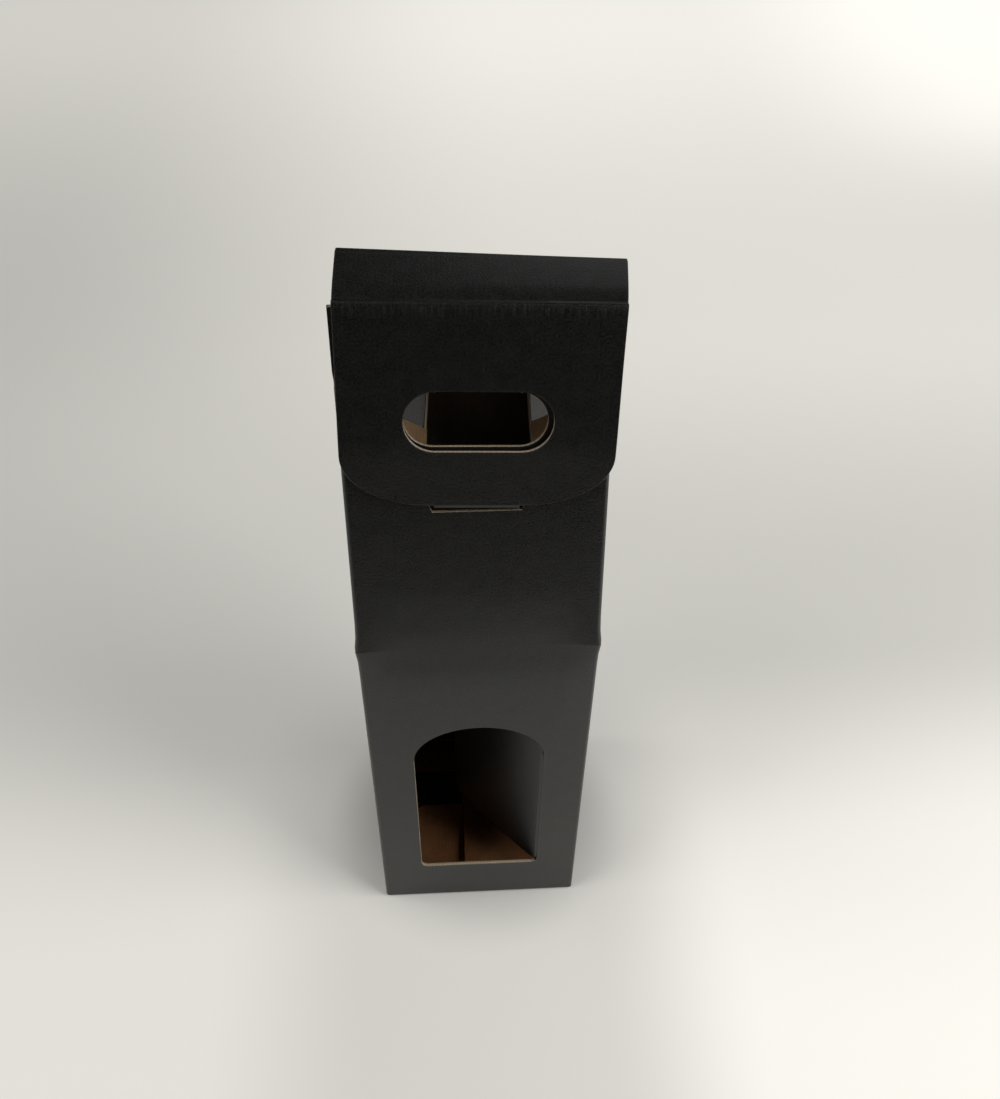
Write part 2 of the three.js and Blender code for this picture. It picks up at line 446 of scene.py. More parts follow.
def paperGrainGroup():
    # Paper fibres, cloudy patches and the flutes telling through the liner
    sizes = {"Fibre Size": 0.35, "Mottle Size": 1.0, "Cloud Size": 14.0, "Flute Pitch": 1.6}
    tree, given, result = newGroup("paperGrain", sizes, ["Fibre", "Mottle", "Cloud", "Flute"])
    sheet = given["Sheet"]
    fineScale = mathNode(tree, "DIVIDE", 1.0, given["Fibre Size"])
    fine = noiseNode(tree, stretched(tree, sheet, 1.0, 0.55), fineScale, 4.0, 0.65)
    fibre = sumOf(tree, [(noiseNode(tree, sheet, fineScale), 0.35), (fine, 0.65)])
    tree.links.new(rangeNode(tree, fibre, 0.32, 0.68), result["Fibre"])
    for label, detail in (("Mottle", 3.0), ("Cloud", 5.0)):
        scale = mathNode(tree, "DIVIDE", 1.0, given[label + " Size"])
        patches = noiseNode(tree, sheet, scale, detail, 0.6)
        tree.links.new(rangeNode(tree, patches, 0.3, 0.7), result[label])
    run = newNode(tree, "SeparateXYZ", {0: sheet}).outputs[0]
    phase = times(tree, mathNode(tree, "DIVIDE", run, given["Flute Pitch"]), math.tau)
    tree.links.new(sumOf(tree, [(mathNode(tree, "SINE", phase), 0.5)], 0.5), result["Flute"])
    return tree


def foldWearGroup():
    # Rubbed board along creases and cut edges, short scuffs, and ticks across a stretched fold
    sizes = {"Fold Reach": 2.0, "Rim Reach": 0.8, "Scuff Amount": 0.4, "Tick Reach": 3.4}
    tree, given, result = newGroup("foldWear", sizes, ["Fold", "Rim", "Scuff", "Tick"])
    sheet = given["Sheet"]
    patchy = rangeNode(tree, noiseNode(tree, sheet, 0.55, 6.0, 0.7), 0.35, 0.65)
    nearFold = mathNode(tree, "POWER", nearness(tree, "foldGap", given["Fold Reach"]), 1.5)
    streak = noiseNode(tree, stretched(tree, sheet, 0.5, 0.07), 1.0, 3.0, distortion=1.2)
    spread = noiseNode(tree, sheet, 0.035)
    scuff = times(tree, rangeNode(tree, streak, 0.62, 0.74), rangeNode(tree, spread, 0.48, 0.62))
    tick = rangeNode(tree, noiseNode(tree, stretched(tree, sheet, 1.25, 0.16), 1.0), 0.44, 0.66)
    wear = {
        "Fold": times(tree, nearFold, sumOf(tree, [(patchy, 0.6)], 0.4)),
        "Rim": times(tree, nearness(tree, "rimGap", given["Rim Reach"]), patchy),
        "Scuff": times(tree, scuff, given["Scuff Amount"]),
        "Tick": times(tree, tick, nearness(tree, "tickGap", given["Tick Reach"])),
    }
    for label, value in wear.items():
        tree.links.new(value, result[label])
    return tree


paperGrain = paperGrainGroup()
foldWear = foldWearGroup()


def newMaterial(name):
    material = bpy.data.materials.new(name)
    material.use_nodes = True
    return material, material.node_tree, material.node_tree.nodes["Principled BSDF"]


def boardMarks(tree, look):
    # The board's own coordinates, and the grain and wear on them
    sheet = newNode(tree, "UVMap", uv_map="boardGrain").outputs[0]
    placed = [newNode(tree, "Group", {"Sheet": sheet, **look[key]}, node_tree=group).outputs
              for key, group in (("grain", paperGrain), ("wear", foldWear)) if key in look]
    return sheet, *placed


def setLook(tree, shader, colour, rough, height, relief):
    bump = newNode(tree, "Bump", {"Height": height, "Distance": relief, "Strength": 1.0}).outputs[0]
    for label, output in (("Base Color", colour), ("Roughness", rough), ("Normal", bump)):
        tree.links.new(output, shader.inputs[label])


# Black-coated liner, the outside of the board
blackLiner = {
    "deep": (0.0020, 0.0020, 0.0019, 1),
    "pale": (0.0160, 0.0159, 0.0151, 1),
    "rubbed": (0.026, 0.025, 0.023, 1),
    "bare": (0.075, 0.060, 0.043, 1),
    "grain": {"Fibre Size": 0.32, "Mottle Size": 0.75, "Cloud Size": 6.0},
    "wear": {"Fold Reach": 1.8, "Rim Reach": 0.6, "Scuff Amount": 0.25},
    "rough": (0.27, 0.40),
    "relief": 0.000045,
}


def makeBlackLiner(name, shine):
    material, tree, shader = newMaterial(name)
    shader.inputs["Specular IOR Level"].default_value = shine
    grain, wear = boardMarks(tree, blackLiner)[1:]
    tone = sumOf(tree, [(grain["Fibre"], 0.25), (grain["Cloud"], 0.3), (grain["Mottle"], 0.45)])
    colour = mixColours(tree, tone, blackLiner["deep"], blackLiner["pale"])
    rubbed = mathNode(tree, "MAXIMUM", times(tree, wear["Fold"], 0.55), wear["Scuff"])
    rubbed = mathNode(tree, "MAXIMUM", rubbed, times(tree, wear["Tick"], 0.8))
    colour = mixColours(tree, rubbed, colour, blackLiner["rubbed"])
    colour = mixColours(tree, times(tree, wear["Rim"], 0.5), colour, blackLiner["bare"])
    uneven = sumOf(tree, [(grain["Fibre"], 0.3), (grain["Mottle"], 0.7)])
    height = sumOf(tree, [(grain["Flute"], 0.06), (wear["Tick"], 0.5)], uneven)
    rough = rangeNode(tree, uneven, 0.0, 1.0, *blackLiner["rough"])
    setLook(tree, shader, colour, rough, height, blackLiner["relief"])
    return material


# Unbleached kraft liner: on the lid and webs; a darker copy with painted shade inside the walls, shoulders
# and side base flaps; and a redder copy with painted bounce light on the base
kraft = {
    "grain": {"Fibre Size": 0.5, "Cloud Size": 9.0},
    "wear": {"Fold Reach": 1.6, "Rim Reach": 0.5, "Scuff Amount": 0.3},
    "rough": (0.72, 0.9),
    "relief": 0.00006,
}
kraftTones = {
    "kraftLiner": {
        "deep": (0.255, 0.142, 0.062, 1),
        "pale": (0.415, 0.265, 0.132, 1),
        "fleck": (0.115, 0.060, 0.027, 1),
        "rubbed": (0.45, 0.32, 0.19, 1),
    },
    # Painted shade: the same kraft darkened for the shade deep inside the carton
    "kraftPaintedShade": {
        "deep": (0.037, 0.023, 0.012, 1),
        "pale": (0.064, 0.042, 0.024, 1),
        "fleck": (0.030, 0.016, 0.008, 1),
        "rubbed": (0.066, 0.042, 0.022, 1),
    },
    # Painted bounce light: the same kraft made redder for light bounced round inside the base
    "kraftBounceTint": {
        "deep": (0.270, 0.108, 0.036, 1),
        "pale": (0.440, 0.200, 0.077, 1),
        "fleck": (0.120, 0.050, 0.018, 1),
        "rubbed": (0.42, 0.23, 0.11, 1),
    },
}


def makeKraftLiner(name):
    material, tree, shader = newMaterial(name)
    tones = kraftTones[name]
    sheet, grain, wear = boardMarks(tree, kraft)
    tone = sumOf(tree, [(grain["Fibre"], 0.6), (grain["Cloud"], 0.4)])
    colour = mixColours(tree, tone, tones["deep"], tones["pale"])
    speck = rangeNode(tree, noiseNode(tree, sheet, 1.7, 2.0, 0.4), 0.66, 0.74, 0.0, 0.5)
    colour = mixColours(tree, speck, colour, tones["fleck"])
    colour = mixColours(tree, times(tree, wear["Fold"], 0.5), colour, tones["rubbed"])
    colour = mixColours(tree, times(tree, grain["Flute"], 0.10), colour, tones["deep"])
    rough = rangeNode(tree, grain["Fibre"], 0.0, 1.0, *kraft["rough"])
    height = sumOf(tree, [(grain["Fibre"], 0.5), (grain["Flute"], 0.5)])
    setLook(tree, shader, colour, rough, height, kraft["relief"])
    return material


# Cut edge: two liners with the wavy medium between them, with painted shade in the flute hollows and over the
# inner part of the edge
cutEdge = {
    "paper": (0.56, 0.44, 0.30, 1),
    "hollowShade": (0.16, 0.105, 0.06, 1),
    "coat": (0.022, 0.021, 0.020, 1),
    "fray": (0.70, 0.60, 0.45, 1),
    "grain": {"Fibre Size": 0.22, "Cloud Size": 5.0},
    "rough": (0.8, 0.95),
    "relief": 0.00012,
}


def makeCutEdge():
    material, tree, shader = newMaterial("cutEdge")
    grain = boardMarks(tree, cutEdge)[1]
    deep = marked(tree, "depth")

    def offFrom(middle):
        return mathNode(tree, "ABSOLUTE", mathNode(tree, "SUBTRACT", deep, middle))

    medium = sumOf(tree, [(grain["Flute"], 0.5)], 0.25)
    # Painted shade: darker in the hollows beside the wavy medium, and deeper into the edge
    beside = rangeNode(tree, offFrom(medium), 0.12, 0.26)
    inside = rangeNode(tree, offFrom(0.5), 0.36, 0.28)
    hollowShade = times(tree, times(tree, beside, inside), 0.55)
    hollowShade = mathNode(tree, "MAXIMUM", hollowShade, rangeNode(tree, deep, 0.25, 0.6, 0.0, 0.7))
    colour = mixColours(tree, grain["Fibre"], cutEdge["paper"], cutEdge["fray"])
    colour = mixColours(tree, hollowShade, colour, cutEdge["hollowShade"])
    coat = times(tree, rangeNode(tree, deep, 0.13, 0.10), rangeNode(tree, deep, 0.02, 0.08))
    colour = mixColours(tree, coat, colour, cutEdge["coat"])
    rough = rangeNode(tree, grain["Fibre"], 0.0, 1.0, *cutEdge["rough"])
    height = mathNode(tree, "SUBTRACT", times(tree, grain["Fibre"], 0.4), hollowShade)
    setLook(tree, shader, colour, rough, height, cutEdge["relief"])
    return material


black, edges = makeBlackLiner("blackLiner", 0.45), makeCutEdge()
skins = [black, makeKraftLiner("kraftLiner"), edges]
# Walls, shoulders and side base flaps carry the kraft darkened with painted shade
shadedWallSkins = [black, makeKraftLiner("kraftPaintedShade"), edges]
# The main base flaps carry the kraft reddened with painted bounce light
bounceTintBaseSkins = [black, makeKraftLiner("kraftBounceTint"), edges]
# Painted shade: the webs take a less shiny copy of the black liner, so they read darker, as in shade
shadedWebSkins = [makeBlackLiner("blackWebShaded", 0.2), skins[1], edges]
print("board materials made")


# The four sides as sections: out is away from the carton, and the line runs from the base upwards;
# foot is the number of the fold at the wall's foot
base = {"ramp": 7.0, "front": nodeBox("base_front_flap"), "back": nodeBox("base_back_flap")}
slopeIn = Vector((-math.sin(lean), math.cos(lean)))


def wallFoot(end, lift):
    # A main base flap from its hook's end, down the ramp to the foot and up the wall
    return [(end, lift), (halfDepth - base["ramp"], lift), (halfDepth, 0), (halfDepth, wallTop)]


frontTop = Vector((halfDepth, wallTop)) + slopeIn * shoulderLength
front = {
    "right": Vector((1, 0, 0)),
    "out": Vector((0, -1, 0)),
    "foot": 1,
    "line": foldLine(wallFoot(-base["front"][1].y, base["front"][0].z) + [frontTop],
                     [folding["ramp"], folding["foot"], folding["frontShoulder"]]),
    "crisp": (29, 43.5),  # from the middle: where the wide bend starts to get crisp, and is so
}


def crispEnds(u, v):
    # Fills the front's wide bend out to the sharp corner towards its ends
    middle = foldAt(front["line"], 2)
    radius = folding["frontShoulder"]
    angle = (foldAt(front["line"], 2, 1) - middle - abs(v - middle)) / radius
    return fadeIn(abs(u), *front["crisp"]) * radius * (1 / math.cos(max(angle, 0)) - 1)


front["fill"] = crispEnds

# The back section runs on over the lid to the tuck tab
lidFold = math.pi / 2 - lean
foldOver = board * math.tan(lidFold / 2)  # from a lid hinge to the sharp corner outside it
tabLength = 10.5  # outer corner of the tab's fold to its end
lidBackCorner = Vector((halfDepth - (lidHigh.z - wallTop) * math.tan(lean), lidHigh.z))
flapFace = Vector((flapHinge.y, flapHinge.z)) + Vector((-math.cos(lean), math.sin(lean))) * board
flapDown = Vector((-math.sin(lean), -math.cos(lean)))
lidFrontCorner = flapFace - flapDown * foldOver
tabCorner = flapFace + flapDown * (flapLength + board)
tabTip = tabCorner + Vector((math.cos(lean), -math.sin(lean))) * tabLength
lidCorners = [lidBackCorner, lidFrontCorner, tabCorner, tabTip]
lidRadii = [folding["lid"], folding["lid"], folding["tab"]]
back = {
    "right": Vector((-1, 0, 0)),
    "out": Vector((0, 1, 0)),
    "foot": 1,
    "line": foldLine(wallFoot(base["back"][0].y, base["back"][0].z) + lidCorners,
                     [folding["ramp"], folding["foot"], folding["shoulder"]] + lidRadii),
}

gusset = {"foot": 3.5, "head": 38.0, "start": 4, "reach": 60, "inWeb": 10, "upShoulder": 40}
gussetIn = Vector((-math.sin(gussetTilt), math.cos(gussetTilt)))
gussetTop = Vector((halfWidth, wallTop)) + gussetIn * gusset["reach"]
sideLine = foldLine([(nodeBox("base_right_flap")[0].x, 0), (halfWidth, 0), (halfWidth, wallTop), gussetTop],
                    [folding["foot"], folding["gusset"]])
right = {"right": Vector((0, 1, 0)), "out": Vector((1, 0, 0)), "foot": 0, "line": sideLine}
left = {"right": Vector((0, -1, 0)), "out": Vector((-1, 0, 0)), "foot": 0, "line": sideLine}

# The walls' feet spread a little all round, and the shoulder crease's corners stick out
stance = {"spread": 0.5, "spreadOver": (30, 44), "ear": 0.7, "earRun": 9, "earHeight": 4.5}


def standOut(point):
    spread = stance["spread"] * (1 - within(point.z / wallTop))
    for axis in (0, 1):
        point[axis] += math.copysign(spread * fadeIn(abs(point[axis]), *stance["spreadOver"]), point[axis])
    near = math.exp(-((point.z - wallTop) / stance["earHeight"]) ** 2)
    out = max(abs(point.x) - halfWidth + stance["earRun"], 0) / stance["earRun"]
    point.x += math.copysign(stance["ear"] * near * out, point.x)
    return point


def stripShape(strip, ends, swell=None, settle=None, share=None):
    # Maps flat board (along the side, up the section, lift off the outer face) into the carton
    def shape(u, v, lift):
        if swell:
            lift += swell(u, v)
        x, inward = across(u, lift, ends, share(v) if share else 1.0)
        if "fill" in strip:
            inward += strip["fill"](u, v)
        out, height = onLine(strip["line"], v, inward)
        point = standOut(strip["right"] * x + strip["out"] * out + up * height)
        return settle(point) if settle else point
    return shape


plainEnd = {"flat": 500.0, "radius": 1.0, "turn": 0.0}
plainEnds = (plainEnd, plainEnd)
cornerEnd = {"flat": halfWidth - folding["corner"], "radius": folding["corner"], "turn": math.pi / 4}
cornerEdge = sideEdge(cornerEnd)


def wave(seed, size, amount):
    # Gentle unevenness of a board panel
    def lift(u, v):
        return amount * noise.noise(Vector((u / size, v / size, seed)))
    return lift


# Lid as it sits in the photograph: turned a little in the flap's plane, its back edge pulled askew
lidSit = {"turn": 1.72, "pivotDrop": 60.0, "shift": 0.24, "skew": 2.3, "flare": 2.9, "flareLeft": 0.5}
lidPivot = Vector((0, flapHinge.y, flapHinge.z)) + Vector((0, flapDown.x, flapDown.y)) * lidSit["pivotDrop"]
lidTurn = Matrix.Rotation(math.radians(-lidSit["turn"]), 3, Vector((0, -math.cos(lean), math.sin(lean))))


def settleLid(point):
    moved = lidTurn @ (point - lidPivot) + lidPivot
    moved.x += lidSit["shift"]
    toBack = within((point.y - flapHinge.y) / (backHinge.y - flapHinge.y), 0, 1.1)
    aside = point.x / lidHigh.x
    moved.y -= lidSit["skew"] * toBack * aside
    moved.x += lidSit["flare"] * toBack * max(aside, 0) ** 2
    moved.x -= lidSit["flareLeft"] * toBack * max(-aside, 0) ** 2
    return moved


def settleBack(point):
    # The back shoulder and its webs give way to the lid towards the top
    share = within((point.z - wallTop) / (backHinge.z - wallTop)) ** 2
    return point.lerp(settleLid(point), share)


# Window, cut through the front wall; in the photograph its head is flatter than half a circle
window = {
    "half": windowHinge.x,
    "sill": nodeBox("window_flap")[0].z - folding["gap"],
    "crown": nodeBox("window_flap")[1].z + folding["gap"] + 0.5,
    "rise": 22.0,
    "corner": 3.0,
    "fray": 0.5,
}
window["spring"] = window["crown"] - window["rise"]
wallFootV = alongLeg(front["line"], 2, 0)


def windowRing(inset):
    half = window["half"] - inset
    foot = window["sill"] + inset
    corner = window["corner"] - inset
    ring = curve((half - corner, foot + corner), (corner, corner), -90, 0, 6)
    ring += curve((0, window["spring"]), (half, window["rise"] - inset), 0, 180, 48)
    ring += curve((corner - half, foot + corner), (corner, corner), 180, 270, 6)
    return ring


def windowFrayed(u, v):
    # The left side and the sill show torn coat
    height = v - wallFootV
    leftSide = u < 0.5 - window["half"] and height < window["spring"] + 1
    return window["fray"] if leftSide or height < window["sill"] + 1.2 else 0


windowHole = [(x, z + wallFootV) for x, z in windowRing(0)]
windowSide = [(window["half"], window["sill"] + window["corner"] + wallFootV),
              (window["half"], window["spring"] + wallFootV)]
# The flap's crease joins the wall at the window's right side and a little round its two ends
windowSeams = [tuple(windowSide)]
for part in (windowHole[3:7], windowHole[7:13]):
    windowSeams += zip(part, part[1:])

# Walls: span of the board along the side, how far it swells out, and seed, size and amount of its waves;
# the left one is carried round the back corner as the glue flap, under the back wall's raw side
glue = {"inset": board + folding["gap"], "width": 18.0, "foot": 6.0, "head": 6.0, "slant": 5.0}
glueFlat = halfDepth - glue["inset"] - folding["corner"]
glueEnd = {"flat": glueFlat, "radius": folding["corner"], "turn": math.pi / 2}
glueSeam = sideEdge(glueEnd, 0.5)
walls = {
    "front_wall": {
        "strip": front,
        "span": (-cornerEdge, cornerEdge),
        "ends": (cornerEnd, cornerEnd),
        "out": 0.35,
        "wave": (3.1, 42, 0.25),
        "uncreased": ["head"],
        "holes": [windowHole],
        "flapSeams": windowSeams,
        "frayed": windowFrayed,
    },
    "back_wall": {
        "strip": back,
        "span": (-cornerEdge, halfWidth - folding["gap"]),
        "ends": (cornerEnd, plainEnd),
        "out": 0.3,
        "wave": (7.7, 46, 0.3),
        "raw": ["last"],
    },
    "left_wall": {
        "strip": left,
        "span": (-glueSeam, cornerEdge),
        "ends": (glueEnd, cornerEnd),
        "out": 0.25,
        "wave": (10.3, 44, 0.3),
    },
    "right_wall": {
        "strip": right,
        "span": (-cornerEdge, cornerEdge),
        "ends": (cornerEnd, cornerEnd),
        "out": 0.25,
        "wave": (12.3, 44, 0.3),
    },
}
# Distances from a panel's sides over which its swelling fades in
swelling = {"side": (1, 14), "end": (3, 16), "webSide": (0, 12), "top": (3, 30)}


def makeWall(node, wall):
    strip, (first, last) = wall["strip"], wall["span"]
    line, foot = strip["line"], strip["foot"]
    low, high = foldAt(line, foot), foldAt(line, foot + 1)
    bulge = wave(*wall["wave"])

    def swell(u, v):
        inside = fadeIn(u - first, *swelling["side"]) * fadeIn(last - u, *swelling["side"])
        inside *= fadeIn(v - low, *swelling["end"]) * fadeIn(high - v, *swelling["end"])
        return inside * (wall["out"] + bulge(u, v))

    outline = [(first, low), (last, low), (last, high), (first, high)]
    sides = dict(zip(("foot", "last", "head", "first"), sidesOf(outline)))
    joined = [name for name in sides if name not in wall.get("raw", [])]
    creased = [name for name in joined if name not in wall.get("uncreased", [])]
    flapSeams = wall.get("flapSeams", [])
    makePanel(node, "carton", {
        "outline": outline,
        "holes": wall.get("holes", []),
        "cuts": (
            sideCuts(wall["ends"]) + gridLines(first, last),
            foldCuts(line, foot, 8) + foldCuts(line, foot + 1) + gridLines(low, high),
        ),
        "seams": [sides[name] for name in joined] + flapSeams,
        "folds": [sides[name] for name in creased] + flapSeams[:1],
        "shape": stripShape(strip, wall["ends"], swell),
        "frayed": wall.get("frayed", nowhere),
        "skins": shadedWallSkins,
    })


def makeGlueFlap():
    line = left["line"]
    foot = alongLeg(line, 1, glue["foot"])
    head = alongLeg(line, 1, wallTop - glue["head"])
    near = -glueSeam
    turned = -sideEdge(glueEnd)
    far = turned - glue["width"] + folding["corner"]
    seam = ((near, foot), (near, head))
    makePanel("glue_flap", "carton", {
        "outline": [*seam, (far, head - glue["slant"]), (far, foot + glue["slant"])],
        "cuts": (sideCuts((glueEnd, plainEnd), 10) + gridLines(far, turned), gridLines(foot, head, 12)),
        "seams": [seam],
        "shape": stripShape(left, (glueEnd, cornerEnd)),
    })


for node, wall in walls.items():
    makeWall(node, wall)
makeGlueFlap()
print("walls folded")


# Webs of the shoulders: hand is the web's side of its own shoulder, side the carton's; draw is how its
# inner edge draws back, as drop below its tip and width there
frontDraw = [(34.0, 4.2), (27.0, 3.6), (20.0, 2.5), (13.0, 1.4), (7.0, 0.5)]
webs = {
    "right_front_web": {
        "strip": front, "hand": 1, "side": 1,
        "edge": 21.2, "inner": 80.5, "outer": 105.0, "sag": 0.40, "draw": frontDraw,
    },
    "left_front_web": {
        "strip": front, "hand": -1, "side": -1,
        "edge": 17.4, "inner": 76.8, "outer": 104.0, "sag": 0.45, "draw": frontDraw,
    },
    "left_back_web": {
        "strip": back, "hand": 1, "side": -1, "settle": settleBack,
        "edge": 15.8, "inner": 112.0, "outer": 120.0, "sag": 0.2, "draw": [(58.0, 4.0), (30.0, 2.1)],
    },
    "right_back_web": {
        "strip": back, "hand": -1, "side": 1, "settle": settleBack,
        "edge": 16.9, "inner": 112.0, "outer": 120.0, "sag": 0.2, "draw": [(58.0, 8.2), (30.0, 4.2)],
    },
}
webTurn = math.radians(136.8)
webEnd = {"flat": halfWidth - folding["web"], "radius": folding["web"], "turn": webTurn}
webEnds = (webEnd, webEnd)
webSeam = sideEdge(webEnd, 0.5)
webBent = sideEdge(webEnd)
webBack = webEnd["flat"] + folding["web"] * math.sin(webTurn)  # where a web leaves its fold

# Hand hole and tuck slot through the front shoulder, up the slope from the shoulder crease
grip = {
    "width": 49.0,
    "height": 21.0,
    "drop": 39.0,
    "margin": 0.75,
    "rise": -0.3,
    "tilt": 0.025,
    "recess": 0.7,  # the shoulder is pressed in round its hole
    "recessSize": (43, 32),
    "nicks": (-6, 11),
}
slot = {"low": 58.4, "high": 63.9, "lip": 15.3, "end": 16.5, "turnUp": 2.4, "fray": 0.4}
flapTop = (flapHinge.z - wallTop - folding["gap"] * math.sin(lean)) / math.cos(lean)
shoulderFoot = alongLeg(front["line"], 3, 0)
holeMiddle = flapTop - grip["drop"] + grip["rise"] + shoulderFoot


def handHole(middle, margin=0.0):
    radius = grip["height"] / 2 - margin
    run = grip["width"] / 2 - margin - radius
    ring = curve((run, middle), (radius, radius), -90, 90, 24)
    return ring + curve((-run, middle), (radius, radius), 90, 270, 24)


def nick(ring, place, width=0.8, depth=0.4):
    # A small bridge left where the die didn't cut through
    at = min(range(len(ring)), key=lambda i: math.dist(ring[i], place))
    first = Vector(ring[at])
    along = (Vector(ring[(at + 1) % len(ring)]) - first).normalized()
    steps = ((0.1, 0), (0.3, 1), (0.7, 1), (0.9, 0))
    bump = [first + along * width * run + leftOf(along) * depth * rise for run, rise in steps]
    return ring[:at + 1] + [tuple(point) for point in bump] + ring[at + 1:]


def tuckSlot():
    turned = slot["low"] + slot["turnUp"]
    ring = [(slot["lip"], slot["low"]), (slot["end"], turned), (slot["end"], slot["high"])]
    ring = [(-slot["lip"], slot["low"])] + ring + [(-slot["end"], slot["high"]), (-slot["end"], turned)]
    return [(u, v + shoulderFoot) for u, v in ring]


def pressedIn(u, v):
    wide, tall = grip["recessSize"]
    return grip["recess"] * (1 - fadeIn(math.hypot(u / wide, (v - holeMiddle) / tall), 0.4, 1.0))


shoulders = {
    "front_shoulder": {
        "strip": front,
        "webTop": webs["right_front_web"]["outer"],
        "top": alongLeg(front["line"], 3, shoulderLength),
        "dip": 1.6,  # the top edge falls to the right
        "out": -0.15,
        "wave": (19.9, 40, 0.2),
        "pressed": pressedIn,
        "holes": [[(u, v - grip["tilt"] * u) for u, v in handHole(holeMiddle, grip["margin"])], tuckSlot()],
    },
    "back_shoulder": {
        "strip": back,
        "webTop": webs["left_back_web"]["outer"],
        "top": foldAt(back["line"], 3, 0) - folding["creaseFlat"],
        "dip": 0.0,
        "out": 0.1,
        "wave": (23.4, 40, 0.25),
        "settle": settleBack,
        "creased": True,
    },
}


def shoulderFrayed(u, v):
    # Torn coat at the front shoulder's free left corner and along the slot's lip
    top = shoulders["front_shoulder"]["top"]
    webTop = alongLeg(front["line"], 3, shoulders["front_shoulder"]["webTop"])
    if abs(v - shoulderFoot - slot["low"]) < 0.3 and abs(u) < slot["lip"] + 0.2:
        return slot["fray"]
    freeSide = u < 0.3 - halfWidth and v > webTop + 3.2
    return 1.0 if freeSide or v > top - 0.3 and u < -28 else 0


shoulders["front_shoulder"]["frayed"] = shoulderFrayed


def makeShoulder(node, shoulder):
    strip, top = shoulder["strip"], shoulder["top"]
    line = strip["line"]
    low = foldAt(line, 2)
    edge = alongLeg(line, 3, shoulder["webTop"])
    free = edge + 3  # from here up the sides are free
    half = halfWidth
    bulge = wave(*shoulder["wave"])
    pressed = shoulder.get("pressed", nowhere)

    def swell(u, v):
        inside = fadeIn(webEnd["flat"] - abs(u), *swelling["webSide"]) * fadeIn(v - low, *swelling["end"])
        inside *= fadeIn(top - v, *swelling["top"])
        return inside * (bulge(u, v) + shoulder["out"]) - pressed(u, v)

    def webShare(v):
        return 1 - fadeIn(v, edge + 0.5, edge + 5)

    outline = [(-webSeam, low), (webSeam, low), (webSeam, edge), (half, free), (half, top - shoulder["dip"]),
               (half / 4, top), (-half, top), (-half, free), (-webSeam, edge)]
    sides = sidesOf(outline)
    webSides = [sides[1], sides[-1]]
    seams = webSides + [sides[0]]
    if shoulder.get("creased"):
        seams.append(level(half, top))
    makePanel(node, "carton", {
        "outline": outline,
        "holes": shoulder.get("holes", []),
        "cuts": (
            sideCuts(webEnds, 10) + gridLines(-webSeam, webSeam),
            foldCuts(line, 2) + gridLines(low, top) + [edge + k for k in range(6)],
        ),
        "seams": seams,
        "folds": seams if shoulder.get("creased") else webSides,
        "shape": stripShape(strip, webEnds, swell, shoulder.get("settle"), webShare),
        "frayed": shoulder.get("frayed", nowhere),
        "skins": shadedWallSkins,
    })


def planeOf(shape, u, v, step=4):
    point = shape(u, v, 0)
    return point, (shape(u + step, v, 0) - point).cross(shape(u, v + step, 0) - point).normalized()


def crossing(path, low, high, plane):
    # Where a straight path meets a plane
    first, last = ((path(end) - plane[0]).dot(plane[1]) for end in (low, high))
    return low + (high - low) * first / (first - last)


gussetPlanes = {
    side: planeOf(stripShape(strip, plainEnds), 0, alongLeg(sideLine, 2, 20))
    for side, strip in ((1, right), (-1, left))
}


def makeWeb(node, web):
    strip, hand = web["strip"], web["hand"]
    line = strip["line"]
    foot = alongLeg(line, 3, 0)
    flatShape = stripShape(strip, webEnds)

    def lowEnd(u):
        # Where the web meets its gusset
        plane = gussetPlanes[web["side"]]
        low, high = foot + gusset["start"], foot + gusset["reach"]
        return hand * u, crossing(lambda v: flatShape(hand * u, v, 0), low, high, plane)

    webTip = webBent + (webBack - web["edge"]) / -math.cos(webTurn)
    outerTop = foot + web["outer"]
    innerTop = foot + web["inner"]
    steer = innerTop + web["sag"] * (outerTop - innerTop)
    rimTop = []
    for t in evenly(0, 1, 16):
        height = (1 - t) ** 2 * innerTop + 2 * t * (1 - t) * steer + t * t * outerTop
        rimTop.append((hand * (webTip + (webBent - webTip) * t), height))
    bent = lowEnd(webBent)
    seamFoot = (hand * webSeam, bent[1])
    slant = (bent, lowEnd(webTip - web["draw"][0][1]))
    seam = (seamFoot, (hand * webSeam, outerTop))
    drawn = [(hand * (webTip - inset), innerTop - drop) for drop, inset in web["draw"]]
    inner, outer = sorted((hand * webBent, hand * webTip))
    makePanel(node, "carton", {
        "outline": [seamFoot, *slant] + drawn + rimTop + [seam[1]],
        "cuts": (
            [hand * x for x in evenly(webSeam, webBent, 6)[1:]] + gridLines(inner, outer),
            gridLines(foot, outerTop),
        ),
        "seams": [slant, seam, (seamFoot, bent)],
        "folds": [slant, seam],
        "shape": stripShape(strip, webEnds, None, web.get("settle")),
        "skins": shadedWebSkins,
        "cap": 1,
    })


